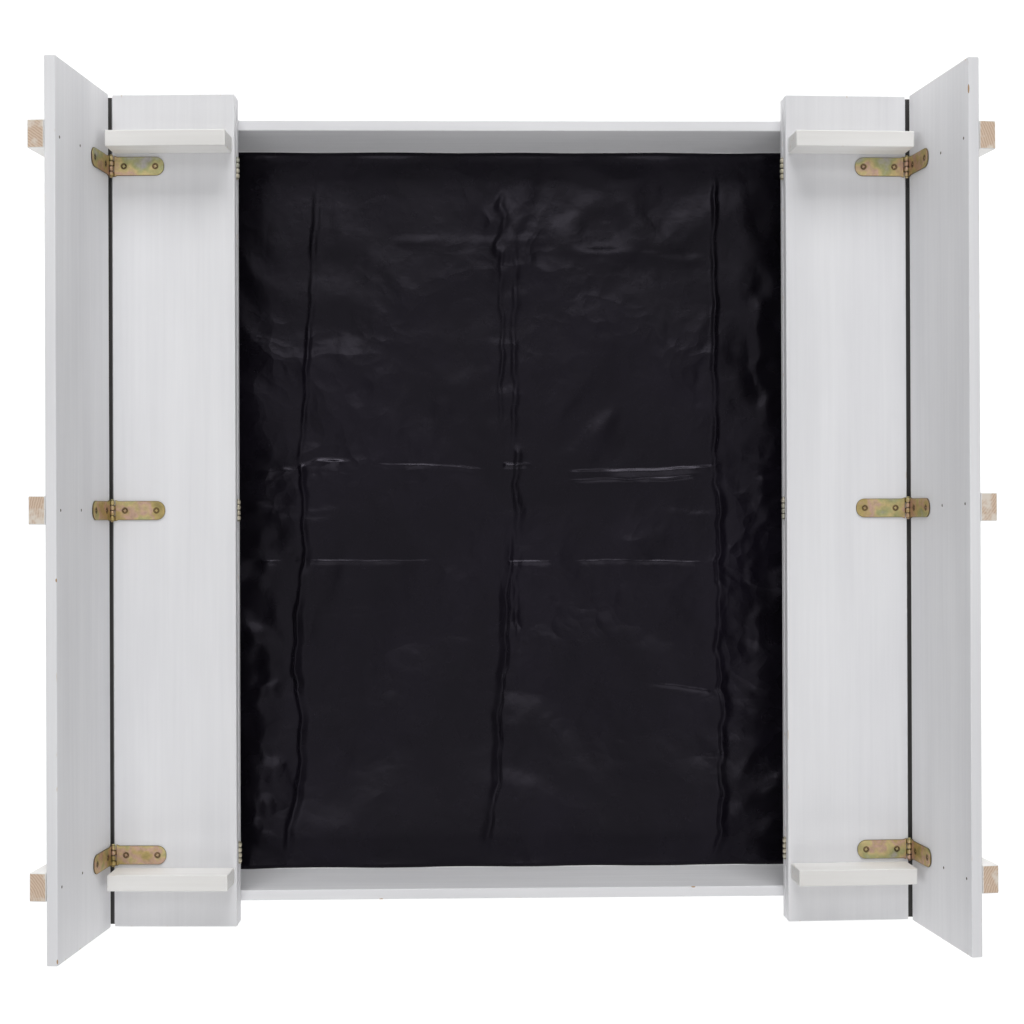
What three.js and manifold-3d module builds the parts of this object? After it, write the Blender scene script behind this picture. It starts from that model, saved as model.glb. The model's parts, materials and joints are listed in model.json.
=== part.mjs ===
// A child's sandbox whose two-part lids unfold into facing benches with backrests.
// Millimetres, +Z up. X runs across the box from bench to bench, Y along the benches.
// The origin is on the ground under the middle of the box. It is modelled with both lids open.

import * as THREE from 'three';
import { mergeVertices } from 'three/addons/utils/BufferGeometryUtils.js';
import Module from 'manifold-3d';

// Driving dimensions

const GAP = 0.3; // clearance between pieces that rest on each other

const BOARD_THICK = 12; // all boards
const BOARD_LENGTH = 950; // seats, backrests and bench bases, along Y
const SEAT_WIDTH = 140;
const BACKREST_WIDTH = 170;
const BENCH_LEDGE = 10.3; // how far the side wall's outer face is beyond the seat above it
const BENCH_SETBACK = 0.8; // how far a bench base board stops short of that face, to clear the batten feet
const LID_GAP = 6; // between the two lids when both are closed

const BOX_LENGTH = 904; // outside of the end walls, along Y
const WALL_HEIGHT = 123;

const BATTEN_THICK = 18; // battens, cleats and corner posts are cut from one stock
const BATTEN_WIDTH = 30;
const BATTEN_TAIL = 50; // how far a batten runs past the hinge axis below the backrest

const CLEAT_HEIGHT = 42;
const CLEAT_LENGTH = 135;
const CLEAT_INSET = 3; // from the seat's inner edge
const CLEAT_ROW = 416.5; // middle of a cleat, from the middle of the seat

const SHEET_THICK = 1;
const SHEET_GAP = 1; // between the ground sheet and the walls

const HINGE_ROW = 393; // outer hinges, from the middle of the boards
const HINGE_EDGE = 0.5; // from the hinge axis to each board's edge, along the board
const LEAF_LENGTH = 60; // from the axis to the end of the leaf
const LEAF_WIDTH = 21.5;
const LEAF_FLARE = 4; // length over which a leaf widens to its knuckles
const LEAF_THICK = 1.2;
const LEAF_CORNER = 10; // radius at the leaf's free end
const KNUCKLE_RADIUS = 2.7;
const KNUCKLE_COUNT = 4;
const BARREL_LENGTH = 24; // over all knuckles
const PIN_RADIUS = 1.3;
const PIN_HEAD_RADIUS = 2;
const PIN_HEAD_THICK = 0.7;
const SCREW_HOLE_RADIUS = 2.2;
const NEAR_HOLE = 14; // screw holes, from the hinge axis
const FAR_HOLE = 50;

// Places worked out from the driving dimensions

const boardHalf = BOARD_LENGTH / 2;
const axisHeight = KNUCKLE_RADIUS + GAP; // hinge axis above the face that its leaf lies on
const seatReach = HINGE_EDGE + SEAT_WIDTH; // from the lid hinge axis to the seat's far edge
const lidAxisX = LID_GAP / 2 + BACKREST_WIDTH + 2 * HINGE_EDGE + seatReach;
const benchBaseX = lidAxisX + HINGE_EDGE; // inner edge of a bench base board
const wallOuterX = benchBaseX + SEAT_WIDTH + BENCH_LEDGE;
const wallOuterY = BOX_LENGTH / 2;
const wallInnerX = wallOuterX - BOARD_THICK;
const benchOuterX = wallOuterX - BENCH_SETBACK;
const wallInnerY = wallOuterY - BOARD_THICK;
const benchTopZ = WALL_HEIGHT + GAP + BOARD_THICK;
const lidAxisZ = benchTopZ + axisHeight;

// An open seat slopes down from its hinge until its outer edge rests on the bench base board.
const seatTilt = Math.atan2(axisHeight, seatReach)
  + Math.asin((axisHeight - GAP) / Math.hypot(axisHeight, seatReach));

// Where the backrest's hinge axis is, from the lid hinge axis, on an untilted seat.
const backAxisX = seatReach + HINGE_EDGE;
const backAxisZ = 2 * axisHeight + BOARD_THICK;
const backAxisOpenX = lidAxisX + backAxisX * Math.cos(seatTilt) + backAxisZ * Math.sin(seatTilt);

// An open backrest leans out until the feet of its battens touch the side wall.
const battenFaceZ = axisHeight + BOARD_THICK + GAP; // from the axis, square to the backrest
const footReach = wallOuterX + GAP - backAxisOpenX;
const backLean = Math.acos(footReach / Math.hypot(battenFaceZ, BATTEN_TAIL))
  - Math.atan2(BATTEN_TAIL, battenFaceZ);
const backFold = Math.PI / 2 - backLean + seatTilt; // up from lying flat in line with the seat

// Materials

const paintedFir = new THREE.MeshStandardMaterial({ color: 0xe9e9ea, roughness: 0.55, metalness: 0 });
const paintedStrip = new THREE.MeshStandardMaterial({ color: 0xe2e0dc, roughness: 0.6, metalness: 0 });
const blackPlastic = new THREE.MeshStandardMaterial({ color: 0x141416, roughness: 0.35, metalness: 0 });
const yellowZinc = new THREE.MeshStandardMaterial({ color: 0xbfa565, roughness: 0.35, metalness: 1 });

// Solids

const wasm = await Module();
wasm.setup();

function solidFrom(geometry) {
  geometry.deleteAttribute('normal');
  geometry.deleteAttribute('uv');
  const merged = mergeVertices(geometry, 1e-4);
  const vertProperties = new Float32Array(merged.attributes.position.array);
  const triVerts = new Uint32Array(merged.index.array);
  return new wasm.Manifold(new wasm.Mesh({ numProp: 3, vertProperties, triVerts }));
}

function geometryFrom(solid) {
  const { vertProperties, triVerts } = solid.getMesh();
  const geometry = new THREE.BufferGeometry();
  geometry.setAttribute('position', new THREE.BufferAttribute(vertProperties, 3));
  geometry.setIndex(new THREE.BufferAttribute(triVerts, 1));
  return geometry;
}

function addMesh(parent, name, geometry, material) {
  const mesh = new THREE.Mesh(geometry, material);
  mesh.name = name;
  parent.add(mesh);
  return mesh;
}

// A square-cut length of timber between two corners.
function addTimber(parent, name, low, high, material) {
  const size = high.map((value, axis) => value - low[axis]);
  const middle = high.map((value, axis) => (value + low[axis]) / 2);
  const mesh = addMesh(parent, name, new THREE.BoxGeometry(...size), material);
  mesh.position.set(...middle);
}

// Hinge leaf. Its axis is the Y axis, it reaches along +X, and the wood is below it.

const leafBottomZ = -KNUCKLE_RADIUS;
const plateStartX = KNUCKLE_RADIUS + GAP;
const knucklePitch = BARREL_LENGTH / KNUCKLE_COUNT;
const barrelHalf = BARREL_LENGTH / 2;
const knuckleSegments = 10;
const holeSegments = 8;
const cornerSegments = 3;

function leafPlate() {
  const half = LEAF_WIDTH / 2;
  const cornerX = LEAF_LENGTH - LEAF_CORNER;
  const cornerY = half - LEAF_CORNER;
  const outline = new THREE.Shape();
  outline.moveTo(plateStartX, -barrelHalf);
  outline.lineTo(plateStartX + LEAF_FLARE, -half);
  outline.lineTo(cornerX, -half);
  outline.absarc(cornerX, -cornerY, LEAF_CORNER, -Math.PI / 2, 0, false);
  outline.absarc(cornerX, cornerY, LEAF_CORNER, 0, Math.PI / 2, false);
  outline.lineTo(plateStartX + LEAF_FLARE, half);
  outline.lineTo(plateStartX, barrelHalf);
  const geometry = new THREE.ExtrudeGeometry(outline, {
    depth: LEAF_THICK,
    bevelEnabled: false,
    curveSegments: cornerSegments,
  });
  return geometry.translate(0, 0, leafBottomZ);
}

function drill(radius, length, segments) {
  return new THREE.CylinderGeometry(radius, radius, length, segments);
}

function knuckleWithTab(middleY) {
  const length = knucklePitch - GAP;
  const barrel = solidFrom(drill(KNUCKLE_RADIUS, length, knuckleSegments).translate(0, middleY, 0));
  const tabLength = plateStartX + LEAF_THICK;
  const tab = new THREE.BoxGeometry(tabLength, length, LEAF_THICK);
  tab.translate(tabLength / 2, middleY, leafBottomZ + LEAF_THICK / 2);
  return barrel.add(solidFrom(tab));
}

function leafSolid() {
  let leaf = solidFrom(leafPlate());
  for (let index = 0; index < KNUCKLE_COUNT; index += 2) {
    const middleY = (index + 0.5) * knucklePitch - barrelHalf;
    leaf = leaf.add(knuckleWithTab(middleY));
  }
  for (const holeX of [NEAR_HOLE, FAR_HOLE]) {
    const hole = drill(SCREW_HOLE_RADIUS, 4 * LEAF_THICK, holeSegments);
    hole.rotateX(Math.PI / 2).translate(holeX, 0, leafBottomZ + LEAF_THICK / 2);
    leaf = leaf.subtract(solidFrom(hole));
  }
  return leaf;
}

function pinGeometry() {
  const shankEnd = barrelHalf + GAP;
  const tip = shankEnd + PIN_HEAD_THICK;
  const profile = [
    new THREE.Vector2(0, -tip),
    new THREE.Vector2(PIN_HEAD_RADIUS, -tip),
    new THREE.Vector2(PIN_HEAD_RADIUS, -shankEnd),
    new THREE.Vector2(PIN_RADIUS, -shankEnd),
    new THREE.Vector2(PIN_RADIUS, shankEnd),
    new THREE.Vector2(PIN_HEAD_RADIUS, shankEnd),
    new THREE.Vector2(PIN_HEAD_RADIUS, tip),
    new THREE.Vector2(0, tip),
  ];
  return new THREE.LatheGeometry(profile, knuckleSegments);
}

const pinBore = solidFrom(drill(PIN_RADIUS + GAP, 2 * BARREL_LENGTH, knuckleSegments));
const pinSolid = solidFrom(pinGeometry());
const runningLeaf = geometryFrom(leafSolid().subtract(pinBore));
const leafWithPin = geometryFrom(leafSolid().add(pinSolid)); // the pin is staked in this leaf
const loosePin = geometryFrom(pinSolid);

// One bench side. It is built on the right; the left one is turned half round, so its rows swap ends.

const rows = [['front', -1], ['middle', 0], ['back', 1]];
const endRows = rows.filter(([, place]) => place !== 0);

function addLidHinge(side, seat, name, rowY) {
  const baseLeaf = addMesh(side, `${name}_base_leaf`, leafWithPin, yellowZinc);
  baseLeaf.position.set(lidAxisX, rowY, lidAxisZ);
  const seatLeaf = addMesh(seat, `${name}_seat_leaf`, runningLeaf, yellowZinc);
  seatLeaf.position.set(0, rowY, 0);
  seatLeaf.rotation.x = Math.PI;
}

function addBackHinge(seat, backrest, name, rowY) {
  const seatLeaf = addMesh(seat, `${name}_seat_leaf`, runningLeaf, yellowZinc);
  seatLeaf.position.set(backAxisX, rowY, backAxisZ);
  seatLeaf.rotation.z = Math.PI;
  const pin = addMesh(seat, `${name}_pin`, loosePin, yellowZinc);
  pin.position.set(backAxisX, rowY, backAxisZ);
  const backLeaf = addMesh(backrest, `${name}_backrest_leaf`, runningLeaf, yellowZinc);
  backLeaf.position.set(0, rowY, 0);
}

// The seat's own frame: the lid hinge axis is its Y axis, and the board reaches along +X.
function addSeat(seat, sideName, turn) {
  const topZ = axisHeight + BOARD_THICK;
  const low = [HINGE_EDGE, -boardHalf, axisHeight];
  addTimber(seat, `seat_board_${sideName}`, low, [seatReach, boardHalf, topZ], paintedFir);
  const cleatX = HINGE_EDGE + CLEAT_INSET;
  for (const [rowName, place] of endRows) {
    const middleY = place * turn * CLEAT_ROW;
    const cleatLow = [cleatX, middleY - BATTEN_THICK / 2, topZ + GAP];
    const cleatHigh = [cleatX + CLEAT_LENGTH, middleY + BATTEN_THICK / 2, topZ + GAP + CLEAT_HEIGHT];
    addTimber(seat, `seat_cleat_${sideName}_${rowName}`, cleatLow, cleatHigh, paintedStrip);
  }
}

// The backrest's own frame: its hinge axis is its Y axis, and the board reaches along +X, under it.
function addBackrest(backrest, sideName, turn) {
  const farX = HINGE_EDGE + BACKREST_WIDTH;
  const low = [HINGE_EDGE, -boardHalf, -axisHeight - BOARD_THICK];
  addTimber(backrest, `backrest_board_${sideName}`, low, [farX, boardHalf, -axisHeight], paintedFir);
  for (const [rowName, place] of rows) {
    const middleY = place * turn * HINGE_ROW;
    const battenLow = [-BATTEN_TAIL, middleY - BATTEN_WIDTH / 2, -battenFaceZ - BATTEN_THICK];
    const battenHigh = [farX, middleY + BATTEN_WIDTH / 2, -battenFaceZ];
    addTimber(backrest, `backrest_batten_${sideName}_${rowName}`, battenLow, battenHigh, paintedStrip);
  }
}

function addSide(root, sideName, turn) {
  const side = new THREE.Group();
  side.rotation.z = turn > 0 ? 0 : Math.PI;
  root.add(side);

  const baseLow = [benchBaseX, -boardHalf, WALL_HEIGHT + GAP];
  addTimber(side, `bench_base_${sideName}`, baseLow, [benchOuterX, boardHalf, benchTopZ], paintedFir);

  const wallLow = [wallInnerX, GAP - wallInnerY, 0];
  addTimber(side, `side_wall_${sideName}`, wallLow, [wallOuterX, wallInnerY - GAP, WALL_HEIGHT], paintedFir);

  for (const [rowName, place] of endRows) {
    const outerY = place * turn * (wallInnerY - GAP);
    const innerY = outerY - place * turn * BATTEN_WIDTH;
    const postLow = [wallInnerX - GAP - BATTEN_THICK, Math.min(outerY, innerY), SHEET_THICK + GAP];
    const postHigh = [wallInnerX - GAP, Math.max(outerY, innerY), WALL_HEIGHT];
    addTimber(side, `corner_post_${sideName}_${rowName}`, postLow, postHigh, paintedStrip);
  }

  const seat = new THREE.Group();
  seat.position.set(lidAxisX, 0, lidAxisZ);
  seat.rotation.y = seatTilt;
  side.add(seat);
  addSeat(seat, sideName, turn);

  const backrest = new THREE.Group();
  backrest.position.set(backAxisX, 0, backAxisZ);
  backrest.rotation.y = -backFold;
  seat.add(backrest);
  addBackrest(backrest, sideName, turn);

  for (const [rowName, place] of rows) {
    const rowY = place * turn * HINGE_ROW;
    addLidHinge(side, seat, `lid_hinge_${sideName}_${rowName}`, rowY);
    addBackHinge(seat, backrest, `back_hinge_${sideName}_${rowName}`, rowY);
  }
}

// The whole sandbox

const sandbox = new THREE.Group();

for (const [rowName, place] of endRows) {
  const nearY = Math.min(place * wallInnerY, place * wallOuterY);
  const low = [-wallOuterX, nearY, 0];
  addTimber(sandbox, `end_wall_${rowName}`, low, [wallOuterX, nearY + BOARD_THICK, WALL_HEIGHT], paintedFir);
}

const sheetX = wallInnerX - SHEET_GAP;
const sheetY = wallInnerY - SHEET_GAP;
addTimber(sandbox, 'ground_sheet', [-sheetX, -sheetY, 0], [sheetX, sheetY, SHEET_THICK], blackPlastic);

addSide(sandbox, 'right', 1);
addSide(sandbox, 'left', -1);

export default sandbox;
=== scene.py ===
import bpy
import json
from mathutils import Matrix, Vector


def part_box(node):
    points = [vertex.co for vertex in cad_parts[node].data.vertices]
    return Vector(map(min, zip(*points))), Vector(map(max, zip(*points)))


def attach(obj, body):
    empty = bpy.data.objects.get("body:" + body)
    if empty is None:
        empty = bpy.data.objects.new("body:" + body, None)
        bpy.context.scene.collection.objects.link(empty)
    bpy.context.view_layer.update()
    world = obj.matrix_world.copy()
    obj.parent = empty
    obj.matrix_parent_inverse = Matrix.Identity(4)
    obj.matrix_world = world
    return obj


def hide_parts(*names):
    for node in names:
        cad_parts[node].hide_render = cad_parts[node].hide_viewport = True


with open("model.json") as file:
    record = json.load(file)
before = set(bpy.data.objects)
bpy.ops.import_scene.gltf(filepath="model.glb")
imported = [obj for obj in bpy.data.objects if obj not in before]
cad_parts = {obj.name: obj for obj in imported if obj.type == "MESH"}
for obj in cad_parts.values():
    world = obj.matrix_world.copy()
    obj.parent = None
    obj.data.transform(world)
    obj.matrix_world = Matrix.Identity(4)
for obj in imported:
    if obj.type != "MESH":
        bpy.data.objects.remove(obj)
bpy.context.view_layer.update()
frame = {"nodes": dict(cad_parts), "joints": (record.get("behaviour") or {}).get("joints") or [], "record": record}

import json
import math

import bpy
import numpy as np
from mathutils import Vector

# A child's sandbox of white-painted fir, open, with a creased black sheet on its floor. Each lid is a
# bench seat and its backrest on yellow zinc hinges. Metres, +Z up, X from bench to bench.

MM = 0.001

SIDES = (("right", 1.0), ("left", -1.0))
ROWS = ("front", "middle", "back")
END_ROWS = ("front", "back")


# ---------------------------------------------------------------- camera, light and floor

CAMERA_PLACE = (-0.0447, -0.0068, 2.1063)
CAMERA_TURN = (0.11, -1.30, -0.21)  # degrees about X, Y and Z, from looking straight down
CAMERA_LENS = 60.0  # millimetres
CAMERA_SENSOR = 36.0  # millimetres wide


def srgb(red, green, blue):
    """Linear colour from the usual 0 to 255 values."""
    share = np.array([red, green, blue]) / 255.0
    linear = np.where(share <= 0.04045, share / 12.92, ((share + 0.055) / 1.055) ** 2.4)
    return (*[float(value) for value in linear], 1.0)


def make_camera():
    data = bpy.data.cameras.new("view_from_above")
    data.lens = CAMERA_LENS
    data.sensor_width = CAMERA_SENSOR
    camera = bpy.data.objects.new("view_from_above", data)
    camera.location = CAMERA_PLACE
    camera.rotation_euler = [math.radians(value) for value in CAMERA_TURN]
    bpy.context.scene.collection.objects.link(camera)
    bpy.context.scene.camera = camera


def add_node(tree, kind, inputs=None, **settings):
    """A shader node with its settings and its inputs, each a number, a colour or another socket."""
    node = tree.nodes.new(kind)
    for key, value in settings.items():
        setattr(node, key, value)
    for key, value in (inputs or {}).items():
        if isinstance(value, bpy.types.NodeSocket):
            tree.links.new(value, node.inputs[key])
        else:
            node.inputs[key].default_value = value
    return node


# Pairs of height, as the sine of the angle above the horizon, and light.
SKY = ((0.0, 0.70), (0.30, 0.70), (0.45, 0.10), (0.80, 0.12), (0.91, 0.18), (0.985, 0.64), (1.0, 0.68))


def make_sky():
    """Bright low down and straight overhead, with a dim band between."""
    world = bpy.data.worlds.new("studio")
    bpy.context.scene.world = world
    world.use_nodes = True
    tree = world.node_tree
    tree.nodes.clear()
    place = add_node(tree, "ShaderNodeTexCoord")
    height = add_node(tree, "ShaderNodeSeparateXYZ", {"Vector": place.outputs["Generated"]})
    shade = add_node(tree, "ShaderNodeValToRGB", {"Fac": height.outputs["Z"]})
    ramp = shade.color_ramp
    while len(ramp.elements) < len(SKY):
        ramp.elements.new(0.5)
    for element, (position, light) in zip(ramp.elements, SKY):
        element.position = position
        element.color = (light, light, light, 1.0)
    glow = add_node(tree, "ShaderNodeBackground", {"Color": shade.outputs["Color"], "Strength": 1.0})
    out = add_node(tree, "ShaderNodeOutputWorld")
    tree.links.new(glow.outputs["Background"], out.inputs["Surface"])


def make_lamp(name, place, size, power):
    """A soft box that faces the middle of the sandbox."""
    data = bpy.data.lights.new(name, "AREA")
    data.shape = "RECTANGLE"
    data.size, data.size_y = size
    data.energy = power
    lamp = bpy.data.objects.new(name, data)
    lamp.location = place
    lamp.rotation_euler = (-Vector(place)).to_track_quat("-Z", "Y").to_euler()
    bpy.context.scene.collection.objects.link(lamp)


FLOOR_HALF = 80.0
FLOOR_DROP = 0.4 * MM  # how far the floor is below the walls' feet
FLOOR_GLOW = 0.60  # keeps the floor even and pale under the soft boxes


def make_floor():
    mesh = bpy.data.meshes.new("floor")
    half, level = FLOOR_HALF, -FLOOR_DROP
    corners = [(-half, -half, level), (half, -half, level), (half, half, level), (-half, half, level)]
    mesh.from_pydata(corners, [], [(0, 1, 2, 3)])
    floor = bpy.data.objects.new("floor", mesh)
    bpy.context.scene.collection.objects.link(floor)
    material = bpy.data.materials.new("pale_floor")
    material.use_nodes = True
    shader = material.node_tree.nodes["Principled BSDF"]
    shader.inputs["Base Color"].default_value = (0.55, 0.55, 0.55, 1.0)
    shader.inputs["Roughness"].default_value = 0.9
    shader.inputs["Emission Color"].default_value = (1.0, 1.0, 1.0, 1.0)
    shader.inputs["Emission Strength"].default_value = FLOOR_GLOW
    mesh.materials.append(material)


make_camera()
bpy.context.scene.view_settings.view_transform = "Standard"
bpy.context.scene.view_settings.exposure = 0.07
make_sky()
make_lamp("back_soft_box", (0.0, 6.7, 4.1), (5.0, 3.0), 360.0)
make_lamp("back_high_soft_box", (0.0, 3.4, 7.6), (4.0, 2.0), 70.0)
make_lamp("front_soft_box", (0.0, -7.0, 3.5), (5.0, 3.0), 120.0)
make_lamp("front_high_soft_box", (0.0, -4.0, 7.0), (5.0, 3.0), 90.0)
make_lamp("left_soft_box", (-6.0, -4.0, 4.0), (4.0, 3.0), 45.0)
make_lamp("right_soft_box", (6.0, -4.0, 4.0), (4.0, 3.0), 45.0)
make_floor()


# ---------------------------------------------------------------- meshes

def closed_strip(stations, count):
    """Faces round a tube: station by station along it, and once round each section."""
    along = np.arange(stations - 1)[:, None] * count
    here = np.arange(count)[None, :]
    after = (here + 1) % count
    quads = np.stack([along + here, along + after, along + count + after, along + count + here], axis=-1)
    return quads.reshape(-1, 4)


def make_mesh(name, points, groups, smooth=None, attributes=None, material_index=None):
    """Mesh from an array of points and a list of face arrays, one face to a row."""
    mesh = bpy.data.meshes.new(name)
    mesh.vertices.add(len(points))
    mesh.vertices.foreach_set("co", np.asarray(points, np.float32).ravel())
    corners = np.concatenate([group.ravel() for group in groups]).astype(np.int32)
    sizes = np.concatenate([np.full(len(group), group.shape[1]) for group in groups])
    starts = np.concatenate([[0], np.cumsum(sizes)[:-1]]).astype(np.int32)
    mesh.loops.add(len(corners))
    mesh.loops.foreach_set("vertex_index", corners)
    mesh.polygons.add(len(sizes))
    mesh.polygons.foreach_set("loop_start", starts)
    mesh.update(calc_edges=True)
    if smooth is None:
        smooth = np.ones(len(sizes), bool)
    mesh.polygons.foreach_set("use_smooth", smooth)
    if material_index is not None:
        mesh.polygons.foreach_set("material_index", material_index.astype(np.int32))
    for key, values in (attributes or {}).items():
        kind = "FLOAT_VECTOR" if values.ndim == 2 else "FLOAT"
        attribute = mesh.attributes.new(key, kind, "POINT")
        field = "vector" if values.ndim == 2 else "value"
        attribute.data.foreach_set(field, np.asarray(values, np.float32).ravel())
    mesh.validate()
    return mesh


def swept_points(sections):
    """Faces for sections carried along a path: the strip round them and a cap on each end."""
    stations, count = sections.shape[:2]
    strip = closed_strip(stations, count)
    first = np.arange(count)[None, ::-1]
    last = np.arange(count)[None, :] + (stations - 1) * count
    return sections.reshape(-1, 3), [strip, first, last]


def body_of(node):
    for body, nodes in frame["record"]["behaviour"]["bodies"].items():
        if node in nodes:
            return body
    raise ValueError(node)


def place_piece(name, mesh, body, materials, stands_for=()):
    for material in materials:
        mesh.materials.append(material)
    piece = bpy.data.objects.new(name, mesh)
    bpy.context.scene.collection.objects.link(piece)
    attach(piece, body)
    if stands_for:
        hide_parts(*stands_for)
    return piece


def joined(parts):
    """One set of points, faces and rim shares, the painted shade on the hinge metal, from several; a part with no
    rim share has none.
    """
    points, groups, shade_shares, offset = [], [], [], 0
    for part_points, part_groups, *rim in parts:
        points.append(part_points)
        groups += [group + offset for group in part_groups]
        shade_shares.append(rim[0] if rim else np.zeros(len(part_points)))
        offset += len(part_points)
    return np.concatenate(points), groups, np.concatenate(shade_shares)


# ---------------------------------------------------------------- materials

def new_material(name):
    material = bpy.data.materials.new(name)
    material.use_nodes = True
    tree = material.node_tree
    return material, tree, tree.nodes["Principled BSDF"]


def scaled(tree, socket, factors):
    node = add_node(tree, "ShaderNodeVectorMath", {0: socket, 1: factors}, operation="MULTIPLY")
    return node.outputs["Vector"]


def noise(tree, socket, scale, detail=3.0, roughness=0.55):
    inputs = {"Vector": socket, "Scale": scale, "Detail": detail, "Roughness": roughness}
    return add_node(tree, "ShaderNodeTexNoise", inputs).outputs["Fac"]


def spread(tree, socket, low, high, to_low=0.0, to_high=1.0):
    """Maps low..high to to_low..to_high, held at both ends."""
    inputs = {"Value": socket, "From Min": low, "From Max": high, "To Min": to_low, "To Max": to_high}
    return add_node(tree, "ShaderNodeMapRange", inputs).outputs["Result"]


def mixed(tree, share, first, second):
    inputs = {"Factor": share, "A": first, "B": second}
    node = tree.nodes.new("ShaderNodeMix")
    node.data_type = "RGBA"
    for key, value in inputs.items():
        socket = next(s for s in node.inputs if s.name == key and (key == "Factor" or s.type == "RGBA"))
        if isinstance(value, bpy.types.NodeSocket):
            tree.links.new(value, socket)
        else:
            socket.default_value = value
    return next(s for s in node.outputs if s.type == "RGBA")


def sums(tree, first, second, share=1.0):
    """first plus share times second."""
    node = add_node(tree, "ShaderNodeMath", {0: second, 1: share, 2: first}, operation="MULTIPLY_ADD")
    return node.outputs["Value"]


# Painted shade: width of the near-black strip that stands in for the shadow under the slot.
SHADE_MARGIN = 6.0 * MM  # dark strip along a bench base, under the slot between seat and backrest


def painted_wood(name, light, dark, bare):
    """Thin white paint over fir. The grain shows as faint streaks along the piece, and the paint is
    rubbed through in places on the eased edges. A dark strip along a bench base's outer margin is painted shade."""
    material, tree, shader = new_material(name)
    grain = add_node(tree, "ShaderNodeAttribute", attribute_name="grain").outputs["Vector"]
    edge = add_node(tree, "ShaderNodeAttribute", attribute_name="edge").outputs["Fac"]
    streaks = noise(tree, scaled(tree, grain, (5.0, 170.0, 170.0)), 1.0, 4.0, 0.6)
    bands = noise(tree, scaled(tree, grain, (1.6, 22.0, 22.0)), 1.0, 2.0, 0.5)
    patches = noise(tree, scaled(tree, grain, (4.0, 9.0, 9.0)), 1.0, 3.0, 0.55)
    tone = sums(tree, spread(tree, streaks, 0.3, 0.7, 0.0, 0.24), spread(tree, bands, 0.3, 0.7), 0.40)
    tone = sums(tree, tone, spread(tree, patches, 0.3, 0.7), 0.36)
    paint = mixed(tree, tone, light, dark)
    flecks = noise(tree, scaled(tree, grain, (50.0, 220.0, 220.0)), 1.0, 2.0, 0.5)
    worn = spread(tree, flecks, 0.66, 0.72, 0.0, 0.6)
    rubbed = add_node(tree, "ShaderNodeMath", {0: worn, 1: edge}, operation="MULTIPLY").outputs["Value"]
    # Painted shade: the bench base's outer margin is mixed to near black, standing in for the shadow under the
    # slot.
    inward = add_node(tree, "ShaderNodeAttribute", attribute_name="painted_shade").outputs["Fac"]
    painted_shade = spread(tree, inward, -SHADE_MARGIN - 1.5 * MM, -SHADE_MARGIN + 0.5 * MM)
    colour = mixed(tree, painted_shade, mixed(tree, rubbed, paint, bare), srgb(38, 36, 34))
    tree.links.new(colour, shader.inputs["Base Color"])
    tree.links.new(spread(tree, streaks, 0.2, 0.8, 0.42, 0.62), shader.inputs["Roughness"])
    ridges = sums(tree, streaks, bands, 0.6)
    bump = add_node(tree, "ShaderNodeBump", {"Height": ridges, "Strength": 0.3, "Distance": 0.2 * MM})
    tree.links.new(bump.outputs["Normal"], shader.inputs["Normal"])
    return material


def bare_end_grain(name, pale, ring, paint):
    """Sawn fir end: rings about a heart that lies off the piece, with paint strayed over one side."""
    material, tree, shader = new_material(name)
    grain = add_node(tree, "ShaderNodeAttribute", attribute_name="grain").outputs["Vector"]
    flat = scaled(tree, grain, (0.0, 1.0, 1.0))
    rings = add_node(
        tree,
        "ShaderNodeTexWave",
        {"Vector": flat, "Scale": 120.0, "Distortion": 2.5, "Detail": 2.0, "Detail Scale": 1.5},
        wave_type="RINGS",
        rings_direction="X",
    )
    fibres = noise(tree, grain, 900.0, 3.0, 0.6)
    tone = sums(tree, spread(tree, rings.outputs["Fac"], 0.1, 0.95, 0.0, 0.7), fibres, 0.35)
    wood = mixed(tree, tone, pale, ring)
    strayed = spread(tree, noise(tree, grain, 55.0, 3.0, 0.6), 0.50, 0.62)
    colour = mixed(tree, strayed, wood, paint)
    tree.links.new(colour, shader.inputs["Base Color"])
    shader.inputs["Roughness"].default_value = 0.75
    bump = add_node(tree, "ShaderNodeBump", {"Height": fibres, "Strength": 0.5, "Distance": 0.3 * MM})
    tree.links.new(bump.outputs["Normal"], shader.inputs["Normal"])
    return material


def yellow_zinc(name, stops, grime_and_shade_colour, most_grime, low_rough=0.34):
    """Yellow passivated zinc: pale gold that drifts to pink, green and grey in patches. Grime in patches, and
    painted shade where the rim attribute says, both in one dark colour.
    """
    material, tree, shader = new_material(name)
    place = add_node(tree, "ShaderNodeTexCoord").outputs["Object"]
    drift = noise(tree, place, 26.0, 3.0, 0.55)
    shade = add_node(tree, "ShaderNodeValToRGB", {"Fac": drift})
    ramp = shade.color_ramp
    while len(ramp.elements) < len(stops):
        ramp.elements.new(0.5)
    for element, (position, colour) in zip(ramp.elements, stops):
        element.position = position
        element.color = colour
    # Painted shade: the rim attribute darkens plate edges, the ring round each screw, the plate's underside and
    # the inside and ends of each knuckle.
    rim = add_node(tree, "ShaderNodeAttribute", attribute_name="rim").outputs["Fac"]
    grime_and_shade = spread(tree, noise(tree, place, 150.0, 4.0, 0.65), 0.40, 0.75, 0.0, most_grime)
    grime_and_shade = add_node(tree, "ShaderNodeMath", {0: grime_and_shade, 1: rim}, operation="MAXIMUM").outputs["Value"]
    colour = mixed(tree, grime_and_shade, shade.outputs["Color"], grime_and_shade_colour)
    tree.links.new(colour, shader.inputs["Base Color"])
    shader.inputs["Metallic"].default_value = 0.85
    rough = spread(tree, noise(tree, place, 300.0, 3.0, 0.6), 0.3, 0.7, low_rough, low_rough + 0.14)
    tree.links.new(rough, shader.inputs["Roughness"])
    dents = noise(tree, place, 500.0, 2.0, 0.5)
    bump = add_node(tree, "ShaderNodeBump", {"Height": dents, "Strength": 0.2, "Distance": 0.1 * MM})
    tree.links.new(bump.outputs["Normal"], shader.inputs["Normal"])
    return material


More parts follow.
